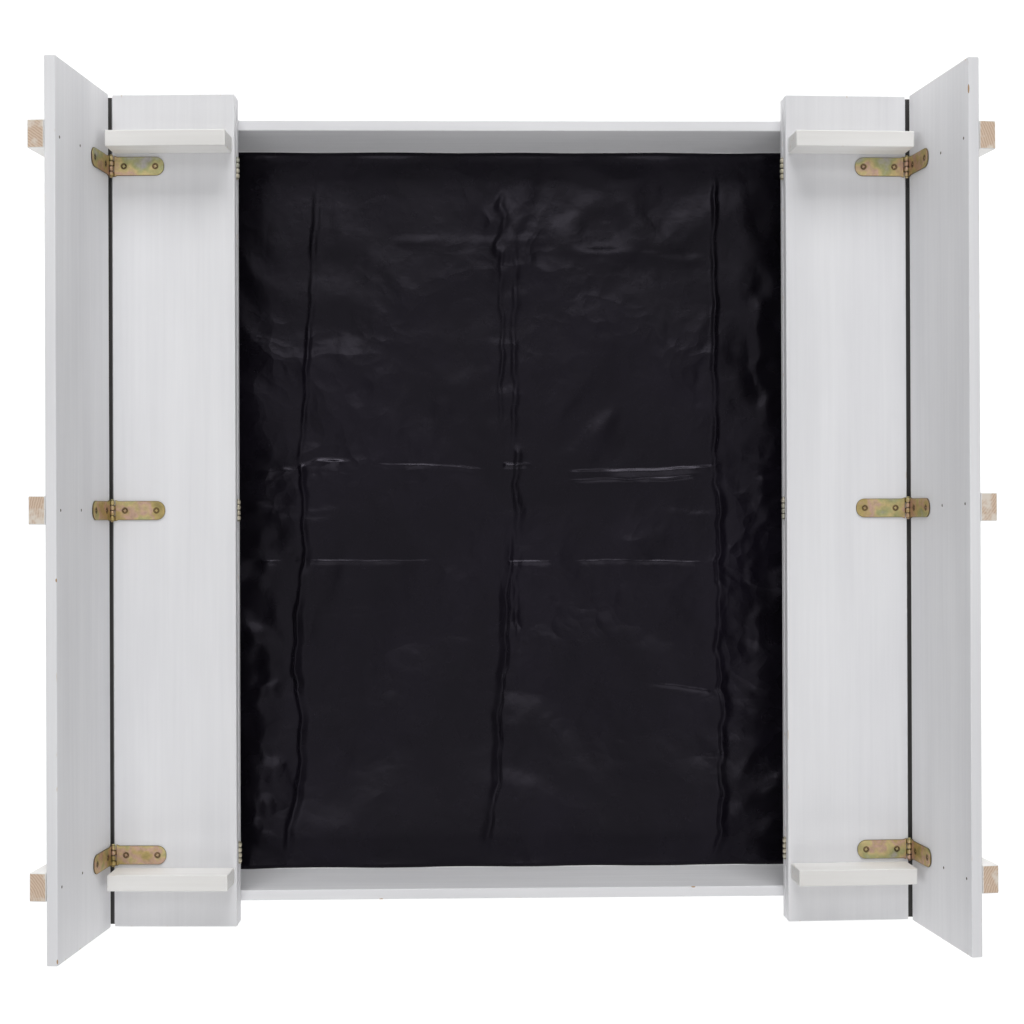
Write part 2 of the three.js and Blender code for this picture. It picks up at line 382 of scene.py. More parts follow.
def black_film(name):
    """Thin black polythene: glossy, with a fine crinkle that comes and goes, and a faint bloom."""
    material, tree, shader = new_material(name)
    place = add_node(tree, "ShaderNodeTexCoord").outputs["Object"]
    bloom = spread(tree, noise(tree, place, 5.0, 5.0, 0.6), 0.42, 0.72)
    colour = mixed(tree, bloom, srgb(12, 10, 15), srgb(20, 17, 25))
    tree.links.new(colour, shader.inputs["Base Color"])
    rough = spread(tree, noise(tree, place, 18.0, 3.0, 0.6), 0.3, 0.7, 0.22, 0.32)
    tree.links.new(rough, shader.inputs["Roughness"])
    shader.inputs["Specular IOR Level"].default_value = 0.20
    shader.inputs["Specular Tint"].default_value = (0.88, 0.82, 1.0, 1.0)
    bend = add_node(tree, "ShaderNodeTexNoise", {"Vector": place, "Scale": 9.0, "Detail": 3.0})
    bent = add_node(tree, "ShaderNodeVectorMath", {0: bend.outputs["Color"], 1: (0.09, 0.09, 0.0)},
                    operation="MULTIPLY")
    moved = add_node(tree, "ShaderNodeVectorMath", {0: place, 1: bent.outputs["Vector"]}, operation="ADD")
    cells = add_node(tree, "ShaderNodeTexVoronoi", {"Vector": moved.outputs["Vector"], "Scale": 15.0})
    small = add_node(tree, "ShaderNodeTexVoronoi", {"Vector": moved.outputs["Vector"], "Scale": 42.0})
    where = spread(tree, noise(tree, place, 4.5, 2.0, 0.5), 0.42, 0.62)
    creases = sums(tree, cells.outputs["Distance"], small.outputs["Distance"], 0.35)
    faded = add_node(tree, "ShaderNodeMath", {0: creases, 1: where}, operation="MULTIPLY")
    crinkle = sums(tree, faded.outputs["Value"], noise(tree, place, 60.0, 4.0, 0.6), 0.12)
    bump = add_node(tree, "ShaderNodeBump", {"Height": crinkle, "Strength": 0.9, "Distance": 3.4 * MM})
    tree.links.new(bump.outputs["Normal"], shader.inputs["Normal"])
    return material


def plain_finish(name, colour, rough, metal=0.4):
    material, tree, shader = new_material(name)
    shader.inputs["Base Color"].default_value = colour
    shader.inputs["Metallic"].default_value = metal
    shader.inputs["Roughness"].default_value = rough
    return material


PAINT_LIGHT = srgb(232, 232, 234)
PAINT_DARK = srgb(214, 214, 217)
FIR = srgb(190, 168, 140)

board_paint = painted_wood("white_paint_on_board", PAINT_LIGHT, PAINT_DARK, FIR)
strip_paint = painted_wood("white_paint_on_strip", srgb(232, 231, 229), srgb(214, 212, 209), FIR)
end_grain = bare_end_grain("sawn_end", srgb(214, 194, 172), srgb(186, 158, 138), srgb(216, 206, 194))
zinc = yellow_zinc(
    "yellow_zinc_plate",
    (
        (0.30, srgb(176, 160, 108)),
        (0.40, srgb(206, 184, 124)),
        (0.47, srgb(214, 178, 162)),
        (0.53, srgb(218, 200, 146)),
        (0.60, srgb(188, 188, 136)),
        (0.70, srgb(190, 186, 184)),
    ),
    srgb(92, 78, 44),
    0.3,
)
zinc_dark = yellow_zinc(
    "yellow_zinc_screw",
    ((0.35, srgb(124, 102, 66)), (0.50, srgb(136, 108, 80)), (0.65, srgb(104, 94, 66))),
    srgb(50, 42, 28),
    0.8,
)
zinc_pale = yellow_zinc(
    "pale_zinc_screw",
    ((0.35, srgb(206, 200, 176)), (0.50, srgb(214, 206, 188)), (0.65, srgb(196, 196, 182))),
    srgb(70, 64, 50),
    0.3,
)
dull_steel = plain_finish("dull_steel", srgb(84, 76, 66), 0.55)
bare_fir = plain_finish("bare_fir", srgb(170, 140, 104), 0.8, 0.0)
# Painted shade: a near-black finish for the faces deep in each screw's cross cut.
painted_shade_recess = plain_finish("painted_shade_recess", srgb(50, 42, 28), 0.6)
film = black_film("black_polythene")


# ---------------------------------------------------------------- timber

EASE = 1.2 * MM  # rounding of a board's edges
ARC_STEPS = 4  # faces round each eased edge
END_LEAN = math.radians(78.0)  # how far the easing turns before the flat end


def node_points(node):
    mesh = frame["nodes"][node].data
    points = np.empty(len(mesh.vertices) * 3, np.float32)
    mesh.vertices.foreach_get("co", points)
    return points.reshape(-1, 3).astype(float)


def timber_axes(node):
    """Middle, directions and size of a square-cut piece, longest side first."""
    mesh = frame["nodes"][node].data
    normals = np.empty(len(mesh.polygons) * 3, np.float32)
    mesh.polygons.foreach_get("normal", normals)
    normals = normals.reshape(-1, 3).astype(float)
    points = node_points(node)
    first = normals[0]
    second = normals[np.abs(normals @ first).argmin()]
    directions = np.array([first, second, np.cross(first, second)])
    span = np.ptp(points @ directions.T, axis=0)
    directions = directions[np.argsort(-span)]
    largest = directions[np.arange(3), np.abs(directions).argmax(axis=1)]
    directions = directions * np.sign(largest)[:, None]
    directions[2] = np.cross(directions[0], directions[1])
    reach = points @ directions.T
    low, high = reach.min(axis=0), reach.max(axis=0)
    middle = ((low + high) / 2) @ directions
    return middle, directions, high - low


def eased_bar(size, ease, spans):
    """Sections of a bar with eased edges: a core box, smaller by the ease on every side, with a ball
    of that radius carried over it. Gives sections, and which section points lie on a flat."""
    length, width, thick = size
    quarter = np.linspace(0.0, math.pi / 2, ARC_STEPS + 1)
    turn = (np.arange(4)[:, None] * math.pi / 2 + quarter[None, :]).ravel()
    corner = np.repeat((np.arange(4) + 0.5) * math.pi / 2, ARC_STEPS + 1)
    core_across = np.sign(np.cos(corner)) * (width / 2 - ease)
    core_through = np.sign(np.sin(corner)) * (thick / 2 - ease)
    lean = np.linspace(END_LEAN, 0.0, ARC_STEPS + 1)
    straight = np.linspace(-1.0, 1.0, spans + 1)[1:-1] * (length / 2 - ease)
    near_end = length / 2 - 3 * ease
    straight = np.concatenate([[-near_end], straight, [near_end]])
    place = np.concatenate([
        -(length / 2 - ease) - ease * np.sin(lean),
        straight,
        (length / 2 - ease) + ease * np.sin(lean[::-1]),
    ])
    radius = ease * np.concatenate([np.cos(lean), np.ones(len(straight)), np.cos(lean[::-1])])
    sections = np.empty((len(place), len(turn), 3))
    sections[:, :, 0] = place[:, None]
    sections[:, :, 1] = core_across + radius[:, None] * np.cos(turn)
    sections[:, :, 2] = core_through + radius[:, None] * np.sin(turn)
    on_edge = np.sin(2 * (turn % (math.pi / 2)))
    return sections, on_edge


def make_timber(node, paint, ease=EASE, spans=24, bare_ends=False, shade_side=0.0, seed=0):
    """A painted length of fir in the place of a square-cut CAD piece. Its margin on the shade side,
    under the slot between seat and backrest, is painted dark as painted shade."""
    middle, directions, size = timber_axes(node)
    local, on_edge = eased_bar(size, ease, spans)
    stations, count = local.shape[:2]
    points = middle + local.reshape(-1, 3) @ directions
    _, groups = swept_points(local)
    flat_span = np.arange(count) % (ARC_STEPS + 1) == ARC_STEPS
    span = np.arange(stations - 1)
    middle_span = (span >= ARC_STEPS) & (span < stations - 1 - ARC_STEPS)
    smooth = np.ones((stations - 1, count), bool)
    smooth[np.ix_(middle_span, flat_span)] = False
    smooth = np.concatenate([smooth.ravel(), [False, False]])
    index = np.zeros(len(smooth))
    if bare_ends:
        index[-2:] = 1
    shift = np.random.default_rng(seed).uniform(-3.0, 3.0, 3) * (1.0, 0.05, 0.05)
    ends = np.clip((np.abs(local[:, :, 0]) - size[0] / 2 + 2 * ease) / ease, 0.0, 1.0)
    edge = np.maximum(np.broadcast_to(on_edge, ends.shape), ends)
    # Painted shade: how far each top point of a bench base lies from its outer edge, dark within the margin.
    outward = local[:, :, 1] * shade_side * np.sign(directions[1][0]) - size[1] / 2
    height = local[:, :, 2] * np.sign(directions[2][2])
    on_top = (height > size[2] / 2 - 0.5 * ease) & (shade_side != 0)
    painted_shade = np.where(on_top, outward, -1.0)
    attributes = {"grain": local.reshape(-1, 3) + shift, "edge": edge.ravel(), "painted_shade": painted_shade.ravel()}
    mesh = make_mesh(node + "_timber", points, groups, smooth, attributes, index)
    materials = [paint, end_grain] if bare_ends else [paint]
    return place_piece(node + "_timber", mesh, body_of(node), materials, [node])


seed = 11
for end in END_ROWS:
    make_timber(f"end_wall_{end}", board_paint, seed=seed)
    seed += 1
for side, sign in SIDES:
    for board in ("side_wall", "bench_base", "seat_board", "backrest_board"):
        # Painted shade on the outer margin of each bench base, under the slot between seat and backrest.
        shade_side = sign if board == "bench_base" else 0.0
        make_timber(f"{board}_{side}", board_paint, shade_side=shade_side, seed=seed)
        seed += 1
    for end in END_ROWS:
        for strip in ("corner_post", "seat_cleat"):
            make_timber(f"{strip}_{side}_{end}", strip_paint, spans=6, seed=seed)
            seed += 1
    for row in ROWS:
        batten = f"backrest_batten_{side}_{row}"
        make_timber(batten, strip_paint, spans=8, bare_ends=True, seed=seed)
        seed += 1


# ---------------------------------------------------------------- hinges

LEAF_THICK = 1.2 * MM
LEAF_LENGTH = 60.0 * MM  # from the pin to the free end
LEAF_HALF = 10.75 * MM
LEAF_CORNER = 10.0 * MM
LEAF_FLARE = 4.0 * MM
LEAF_EDGE = 0.45 * MM  # rounding of the stamped edge
# Painted shade: plates are darker towards their edges, round the screws and underneath.
RIM_WIDTH = 0.9 * MM  # how far in from its edge a plate is darker
BARREL_RADIUS = 2.7 * MM
BARREL_HALF = 12.0 * MM
KNUCKLES = 4
PIN_RADIUS = 1.3 * MM
PIN_HEAD_RADIUS = 2.0 * MM
PIN_OVERHANG = 1.0 * MM
RUN_GAP = 0.15 * MM  # between knuckles
SCREW_ALONG = (14.0 * MM, 50.0 * MM)
SCREW_RADIUS = 3.3 * MM
SCREW_STEPS = 48  # points round a screw head
SINK = 0.5 * MM  # depth of the countersink at its rim


def leaf_plate():
    """Flat plate as sections across it. Its half width flares to the barrel, is even along the plate
    and follows a quarter circle at each corner of the free end. Its upper face drops in a rounding
    at the rim and in a cone round each screw."""
    start = BARREL_RADIUS + 0.3 * MM
    even = np.linspace(start, LEAF_LENGTH - LEAF_CORNER, 70)
    turn = np.linspace(0.0, math.pi / 2, 24)[1:]
    round_end = LEAF_LENGTH - LEAF_CORNER + LEAF_CORNER * np.sin(turn)
    along = np.concatenate([even, round_end])
    half = np.full(len(along), LEAF_HALF)
    half[len(even):] = LEAF_HALF - LEAF_CORNER * (1 - np.cos(turn))
    flare = np.clip(1 - (along - start) / LEAF_FLARE, 0.0, 1.0)
    half = half + (BARREL_HALF - LEAF_HALF) * flare * flare * (3 - 2 * flare)
    across = np.sin(np.linspace(-math.pi / 2, math.pi / 2, 41))
    x = np.broadcast_to(along[:, None], (len(along), len(across)))
    y = half[:, None] * across[None, :]
    rim = np.minimum(half[:, None] - np.abs(y), LEAF_LENGTH - x)
    round_off = np.clip(1 - rim / LEAF_EDGE, 0.0, 1.0)
    drop = LEAF_EDGE * (1 - np.sqrt(1 - round_off ** 2))
    for place in SCREW_ALONG:
        far = np.hypot(x - place, y) / (SCREW_RADIUS + 0.25 * MM)
        drop = np.maximum(drop, SINK * np.clip((1 - far) * 3.0, 0.0, 1.0))
    top = np.stack([x, y, LEAF_THICK - drop], axis=-1)
    under = np.stack([x[:, ::-1], y[:, ::-1], np.zeros_like(x)], axis=-1)[:, ::8]
    sections = np.concatenate([top, under], axis=1)
    sections[..., 2] -= BARREL_RADIUS
    # Painted shade: darker along the plate's edge, in a ring round each screw, and all over the underside.
    dark = 0.85 * np.clip(1 - rim / RIM_WIDTH, 0.0, 1.0) ** 0.7
    for place in SCREW_ALONG:
        far = np.abs(np.hypot(x - place, y) - SCREW_RADIUS) / (0.5 * MM)
        dark = np.maximum(dark, 0.9 * np.clip(1.3 - far, 0.0, 1.0))
    dark = np.concatenate([dark, np.ones(under.shape[:2])], axis=1)
    return (*swept_points(sections[:, ::-1]), dark[:, ::-1].ravel())


def leaf_knuckle(low, high):
    """A tab of the plate rolled round the pin: a section that is flat inside and crowned outside like
    part of a circle, carried straight in under the pin, then round it for seven eighths of a turn."""
    middle_radius = BARREL_RADIUS - LEAF_THICK / 2
    run = np.linspace(BARREL_RADIUS + 1.5 * MM, 0.0, 5)[:-1]
    turn = np.linspace(0.0, 1.72 * math.pi, 30)
    path_x = np.concatenate([run, -middle_radius * np.sin(turn)])
    path_z = np.concatenate([np.full(len(run), -middle_radius), -middle_radius * np.cos(turn)])
    out_x = np.concatenate([np.zeros(len(run)), -np.sin(turn)])
    out_z = np.concatenate([np.full(len(run), -1.0), -np.cos(turn)])
    half = LEAF_THICK / 2 - 0.01 * MM
    share = np.linspace(-1.0, 1.0, 9)
    crown = half - 0.85 * MM * (1 - np.sqrt(1 - 0.98 * share ** 2))
    middle, reach = (low + high) / 2, (high - low) / 2
    side = np.concatenate([[low, high], middle + reach * share[::-1]])
    shape_out = np.concatenate([[-half, -half], crown[::-1]])
    sections = np.empty((len(path_x), len(side), 3))
    sections[..., 0] = path_x[:, None] + out_x[:, None] * shape_out
    sections[..., 1] = side
    sections[..., 2] = path_z[:, None] + out_z[:, None] * shape_out
    # Painted shade: darker inside the roll and towards each end of the knuckle.
    dark = np.concatenate([[1.0, 1.0], np.abs(share[::-1]) ** 3])
    return (*swept_points(sections), np.tile(dark, len(path_x)))


def turned(profile, steps=24):
    """A turned piece about the Y axis: (radius, height) pairs from pole to pole, carried once round."""
    radius, height = np.array(profile).T
    angle = np.arange(steps) * 2 * math.pi / steps
    rings = np.empty((len(radius), steps, 3))
    rings[..., 0] = radius[:, None] * np.sin(angle)
    rings[..., 1] = height[:, None]
    rings[..., 2] = radius[:, None] * np.cos(angle)
    return swept_points(rings)


def hinge_pin():
    """Pin with a low dome peened on each end: the head's radius follows a quarter circle."""
    shank = BARREL_HALF + 0.3 * MM
    lean = np.linspace(0.0, math.radians(80.0), 6)
    dome = [(PIN_HEAD_RADIUS * math.cos(a), shank + 0.7 * MM * math.sin(a)) for a in lean]
    profile = [(r, -h) for r, h in dome[::-1]]
    profile += [(PIN_HEAD_RADIUS, -shank), (PIN_RADIUS, -shank)]
    profile += [(PIN_RADIUS, shank), (PIN_HEAD_RADIUS, shank)]
    profile += dome
    return turned(profile)


def screw_head():
    """Countersunk head about the Z axis, its rim at height 0: a low dome with a cross cut in it that
    deepens to the middle, on a cone that runs down to a short shank."""
    share = np.array([0.02, 0.14, 0.22, 0.30, 0.38, 0.46, 0.54, 0.62, 0.72, 0.86, 0.97, 1.0])
    angle = np.arange(SCREW_STEPS) * 2 * math.pi / SCREW_STEPS
    x = SCREW_RADIUS * share[:, None] * np.cos(angle)
    y = SCREW_RADIUS * share[:, None] * np.sin(angle)
    dome = 0.15 * MM * (1 - share[:, None] ** 2) - 0.08 * MM * (share[:, None] > 0.98)
    narrow = np.minimum(np.abs(x), np.abs(y)) / (0.17 * SCREW_RADIUS)
    long = np.maximum(np.abs(x), np.abs(y)) / (0.62 * SCREW_RADIUS)
    cut = np.clip((1.25 - narrow) * 4, 0.0, 1.0) * np.clip((1 - long) * 3, 0.0, 1.0)
    top = np.stack([x, y, dome - 0.9 * MM * cut], axis=-1)
    cone = [(0.96, -0.25), (0.55, -1.0), (0.5, -1.1), (0.05, -1.1)]
    around = SCREW_RADIUS * np.stack([np.cos(angle), np.sin(angle), 0.0 * angle], axis=-1)
    below = [r * around + [0.0, 0.0, h * MM] for r, h in cone]
    # Painted shade: faces deep in the cross cut, down to the middle of the head, take the near-black recess
    # finish.
    deep = np.concatenate([cut, np.zeros((len(cone), SCREW_STEPS))])[::-1]
    face_deep = (deep[:-1] + deep[1:] + np.roll(deep[:-1], -1, 1) + np.roll(deep[1:], -1, 1)) / 4
    recess = np.concatenate([(face_deep > 0.4).ravel(), [False, True]])
    return swept_points(np.concatenate([top, np.array(below)])[::-1]), recess


def set_in_place(part, origin, reach, out):
    """Moves a part from its own axes to the place where reach is its X and out is its Z."""
    points, *others = part
    reach, out = np.array(reach), np.array(out)
    directions = np.array([reach, np.cross(out, reach), out])
    return (np.array(origin) + points @ directions, *others)


plate = leaf_plate()
pitch = 2 * BARREL_HALF / KNUCKLES
knuckles = [
    leaf_knuckle(-BARREL_HALF + k * pitch + RUN_GAP, -BARREL_HALF + (k + 1) * pitch - RUN_GAP)
    for k in range(0, KNUCKLES, 2)
]
leaf = joined([plate, *knuckles])
pin = hinge_pin()
head, head_recess = screw_head()


def make_metal(name, parts, body, stands_for=(), material=None, recess=None):
    points, groups, shade_shares = joined(parts)
    index = None if recess is None else np.tile(recess, len(parts))
    mesh = make_mesh(name, points, groups, attributes={"rim": shade_shares}, material_index=index)
    materials = [material or zinc] + ([painted_shade_recess] if recess is not None else [])
    return place_piece(name, mesh, body, materials, stands_for)


def make_screws(name, heads, body):
    make_metal(name, heads, body, material=zinc_dark, recess=head_recess)


def leaf_screws(origin, reach, out):
    spin = np.random.default_rng(int(abs(origin[0] * 7919 + origin[1] * 104729) * 1000)).uniform(0, 1.5, 2)
    placed = []
    for place, turn in zip(SCREW_ALONG, spin):
        across = np.cross(out, reach)
        aim = math.cos(turn) * np.array(reach) + math.sin(turn) * across
        middle = origin + np.array(reach) * place + np.array(out) * (LEAF_THICK - BARREL_RADIUS - 0.12 * MM)
        placed.append(set_in_place(head, middle, aim, out))
    return placed


def joint_place(name):
    joint = next(j for j in frame["joints"] if j["name"] == name)
    return np.array(joint["pos_m"])


for side, sign in SIDES:
    _, seat_axes, _ = timber_axes(f"seat_board_{side}")
    _, back_axes, _ = timber_axes(f"backrest_board_{side}")
    seat_out = seat_axes[1] * np.sign(seat_axes[1][0]) * sign  # across the seat, away from the sand
    seat_up = seat_axes[2] * np.sign(seat_axes[2][2])
    back_up = back_axes[1] * np.sign(back_axes[1][2])
    back_in = back_axes[2] * -sign * np.sign(back_axes[2][0])  # out of the backrest's inner face
    lid_axis = joint_place(f"{side}_seat_fold")
    back_axis = joint_place(f"{side}_backrest_fold")
    outward = np.array([sign, 0.0, 0.0])
    upward = np.array([0.0, 0.0, 1.0])
    for row in ROWS:
        lid = f"lid_hinge_{side}_{row}"
        back = f"back_hinge_{side}_{row}"
        low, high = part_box(f"{back}_pin")
        row_y = np.array([0.0, (low.y + high.y) / 2, 0.0])
        at_lid, at_back = lid_axis + row_y, back_axis + row_y

        base_leaf = set_in_place(leaf, at_lid, outward, upward)
        staked_pin = set_in_place(pin, at_lid, outward, upward)
        make_metal(f"{lid}_base_plate", [base_leaf, staked_pin], "box", [f"{lid}_base_leaf"], zinc_pale)
        make_screws(f"{lid}_base_screws", leaf_screws(at_lid, outward, upward), "box")

        seat_leaf = set_in_place(leaf, at_lid, seat_out, -seat_up)
        make_metal(f"{lid}_seat_plate", [seat_leaf], f"{side}_seat", [f"{lid}_seat_leaf"], zinc_pale)
        make_screws(f"{lid}_seat_screws", leaf_screws(at_lid, seat_out, -seat_up), f"{side}_seat")

        inner_leaf = set_in_place(leaf, at_back, -seat_out, seat_up)
        make_metal(f"{back}_seat_plate", [inner_leaf], f"{side}_seat", [f"{back}_seat_leaf"])
        make_screws(f"{back}_seat_screws", leaf_screws(at_back, -seat_out, seat_up), f"{side}_seat")
        back_pin = set_in_place(pin, at_back, outward, upward)
        make_metal(f"{back}_rivet", [back_pin], f"{side}_seat", [f"{back}_pin"])

        tall_leaf = set_in_place(leaf, at_back, back_up, back_in)
        make_metal(f"{back}_backrest_plate", [tall_leaf], f"{side}_backrest", [f"{back}_backrest_leaf"])
        tall_screws = leaf_screws(at_back, back_up, back_in)
        make_screws(f"{back}_backrest_screws", tall_screws, f"{side}_backrest")


# ---------------------------------------------------------------- wood screws

def wood_screws(name, places, out, body):
    """Countersunk screws set flush in a face, their crosses turned at random."""
    out = np.array(out, float)
    lead = np.array([0.0, 1.0, 0.0]) if abs(out[1]) < 0.9 else np.array([1.0, 0.0, 0.0])
    cross = np.cross(out, lead)
    turns = np.random.default_rng(len(name) * 31 + len(places)).uniform(0, 1.5, len(places))
    parts = [
        set_in_place(head, np.array(place) + 0.05 * MM * out, math.cos(a) * lead + math.sin(a) * cross, out)
        for place, a in zip(places, turns)
    ]
    make_screws(name, parts, body)


BATTEN_NAILS = (13.0 * MM, 76.0 * MM)  # below the backrest's upper edge
BRAD_RADIUS = 1.6 * MM


def brad_heads(name, places, out, body):
    """Small dull nail heads, each a low dome whose height falls off as a quarter circle."""
    lean = np.linspace(math.radians(4.0), math.pi / 2, 7)
    profile = [(BRAD_RADIUS * math.sin(a), 0.25 * MM * math.cos(a)) for a in lean]
    profile += [(BRAD_RADIUS, -0.6 * MM), (0.1 * MM, -0.6 * MM)]
    points, groups = turned(profile[::-1], 16)
    upright = points[:, [2, 0, 1]], groups
    parts = [set_in_place(upright, place, (0.0, 1.0, 0.0), out) for place in places]
    make_metal(name, parts, body, material=dull_steel)


# Small chips in the eased edges, where the paint has come off: board, place along it, which side of
# its width (1 towards the sand, -1 away), length.
CHIPS = (
    ("backrest_board_right", 0.441, 1.0, 10.0 * MM),
    ("backrest_board_left", -0.073, 1.0, 4.0 * MM),
    ("backrest_board_left", -0.470, 1.0, 5.0 * MM),
    ("end_wall_front", -0.153, -1.0, 5.0 * MM),
    ("end_wall_front", 0.210, 1.0, 5.0 * MM),
)


def make_chips():
    """Bare wood in the upper edge of a board: a long low dome bent down over the eased edge, so that
    it falls away as the square of the distance across over twice the easing."""
    lean = np.linspace(math.radians(6.0), math.pi / 2, 6)
    profile = [(math.sin(a), math.cos(a)) for a in lean] + [(1.0, -0.5), (0.1, -0.5)]
    points, groups = turned(profile[::-1], 14)
    for number, (board, along, edge, length) in enumerate(CHIPS, 1):
        middle, axes, size = timber_axes(board)
        heights = np.abs(axes[:, 2])
        upright = 1 if heights[1] > heights[2] else 2
        level = 3 - upright
        up = axes[upright] * np.sign(axes[upright][2])
        inward = axes[level] * np.sign(-middle @ axes[level]) * edge
        corner = middle + axes[0] * along + up * size[upright] / 2 + inward * size[level] / 2
        out = (up + inward) / math.sqrt(2)
        lens = points[:, [2, 0, 1]] * [length / 2, 0.9 * MM, 0.10 * MM]
        lens[:, 2] -= lens[:, 1] ** 2 / (2 * EASE)
        spot = set_in_place((lens, groups), corner - out * 0.5 * MM, axes[0], out)
        name = f"{board}_chip_{number}"
        mesh = make_mesh(name, *joined([spot])[:2])
        place_piece(name, mesh, body_of(board), [bare_fir])


# Screws, as shares of the wall's height, the board's width or the cleat's length.
END_WALL_SCREWS = (0.25, 0.75)
SIDE_WALL_SCREWS = (0.35, 0.85)
BENCH_BASE_SCREWS = (0.25, 0.6, 0.9)
CLEAT_SCREWS = (-0.3, 0.3)

make_chips()
for side, sign in SIDES:
    middle, axes, size = timber_axes(f"backrest_board_{side}")
    back_up = axes[1] * np.sign(axes[1][2])
    back_in = axes[2] * -sign * np.sign(axes[2][0])
    seat_middle, seat_axes, seat_size = timber_axes(f"seat_board_{side}")
    seat_up = seat_axes[2] * np.sign(seat_axes[2][2])
    top = middle + back_up * size[1] / 2 + back_in * size[2] / 2
    for row in ROWS:
        low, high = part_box(f"backrest_batten_{side}_{row}")
        row_y = (low.y + high.y) / 2
        stray = np.random.default_rng(int(row_y * 50) + 40 + int(sign)).uniform(-4, 4, 2) * MM
        places = [top - back_up * d + [0.0, row_y + s, 0.0] for d, s in zip(BATTEN_NAILS, stray)]
        brad_heads(f"batten_nails_{side}_{row}", places, back_in, f"{side}_backrest")
    for end in END_ROWS:
        cleat_middle, cleat_axes, cleat_size = timber_axes(f"seat_cleat_{side}_{end}")
        under = seat_middle - seat_up * seat_size[2] / 2
        foot = cleat_middle + seat_up * ((under - cleat_middle) @ seat_up)
        places = [foot + cleat_axes[0] * s * cleat_size[0] for s in CLEAT_SCREWS]
        wood_screws(f"cleat_screws_{side}_{end}", places, -seat_up, f"{side}_seat")

        post_low, post_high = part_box(f"corner_post_{side}_{end}")
        wall_low, wall_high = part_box(f"end_wall_{end}")
        end_sign = 1.0 if end == "back" else -1.0
        outer_y = wall_high.y if end_sign > 0 else wall_low.y
        post_x = (post_low.x + post_high.x) / 2
        places = [(post_x, outer_y, share * wall_high.z) for share in END_WALL_SCREWS]
        wood_screws(f"end_wall_screws_{side}_{end}", places, (0, end_sign, 0), "box")
        side_low, side_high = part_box(f"side_wall_{side}")
        outer_x = side_high.x if sign > 0 else side_low.x
        post_y = (post_low.y + post_high.y) / 2
        places = [(outer_x, post_y, share * wall_high.z) for share in SIDE_WALL_SCREWS]
        wood_screws(f"side_wall_screws_{side}_{end}", places, (sign, 0, 0), "box")
        base_low, base_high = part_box(f"bench_base_{side}")
        rim_y = (wall_low.y + wall_high.y) / 2
        across = np.array(BENCH_BASE_SCREWS) * (base_high.x - base_low.x)
        inner_x = base_low.x if sign > 0 else base_high.x
        places = [(inner_x + sign * a, rim_y, base_high.z) for a in across]
        wood_screws(f"bench_base_screws_{side}_{end}", places, (0, 0, 1), "box")


# ---------------------------------------------------------------- ground sheet

FILM_THICK = 0.25 * MM
FILM_LIFT = 0.5 * MM  # lowest part of the film above the ground

# Folds: the line's points as (along, off) pairs, height, width on its low and its high side, waver.
# An "up" fold runs along Y and is off along X; an "over" fold runs along X and is off along Y.
UP_FOLDS = (
    (((0.41, -0.234), (0.21, -0.246), (0.05, -0.257)), 0.0022, 0.004, 0.004, 0.0010),
    (((0.06, -0.257), (-0.05, -0.251)), 0.0026, 0.003, 0.007, 0.0012),
    (((-0.03, -0.251), (-0.198, -0.267), (-0.247, -0.255), (-0.345, -0.262), (-0.437, -0.280)),
     0.0036, 0.0035, 0.0095, 0.0015),
    (((0.40, -0.211), (0.12, -0.206)), 0.0007, 0.003, 0.005, 0.0010),
    (((0.42, -0.170), (0.13, -0.166)), 0.0009, 0.004, 0.003, 0.0008),
    (((0.42, -0.006), (0.31, -0.014)), 0.0016, 0.007, 0.009, 0.0040),
    (((0.33, 0.008), (0.06, 0.006)), 0.0016, 0.005, 0.004, 0.0015),
    (((0.33, -0.008), (0.10, -0.010)), 0.0010, 0.004, 0.004, 0.0015),
    (((0.08, 0.009), (-0.04, 0.008)), 0.0024, 0.003, 0.006, 0.0015),
    (((-0.02, 0.002), (-0.147, -0.004), (-0.247, -0.012), (-0.345, -0.017), (-0.437, -0.031)),
     0.0034, 0.0095, 0.0035, 0.0015),
    (((0.02, 0.012), (-0.16, 0.008)), 0.0016, 0.004, 0.004, 0.0020),
    (((0.42, 0.182), (0.07, 0.186)), 0.0008, 0.003, 0.004, 0.0008),
    (((0.42, 0.254), (0.05, 0.254)), 0.0022, 0.004, 0.005, 0.0010),
    (((0.07, 0.254), (-0.06, 0.260), (-0.15, 0.257)), 0.0034, 0.004, 0.010, 0.0020),
    (((-0.13, 0.257), (-0.31, 0.263), (-0.437, 0.254)), 0.0030, 0.004, 0.009, 0.0025),
    (((0.30, 0.300), (0.10, 0.318)), 0.0022, 0.008, 0.012, 0.0040),
    (((0.05, 0.310), (-0.20, 0.300)), 0.0026, 0.009, 0.012, 0.0050),
    (((-0.15, -0.300), (-0.42, -0.312)), 0.0024, 0.010, 0.012, 0.0050),
)
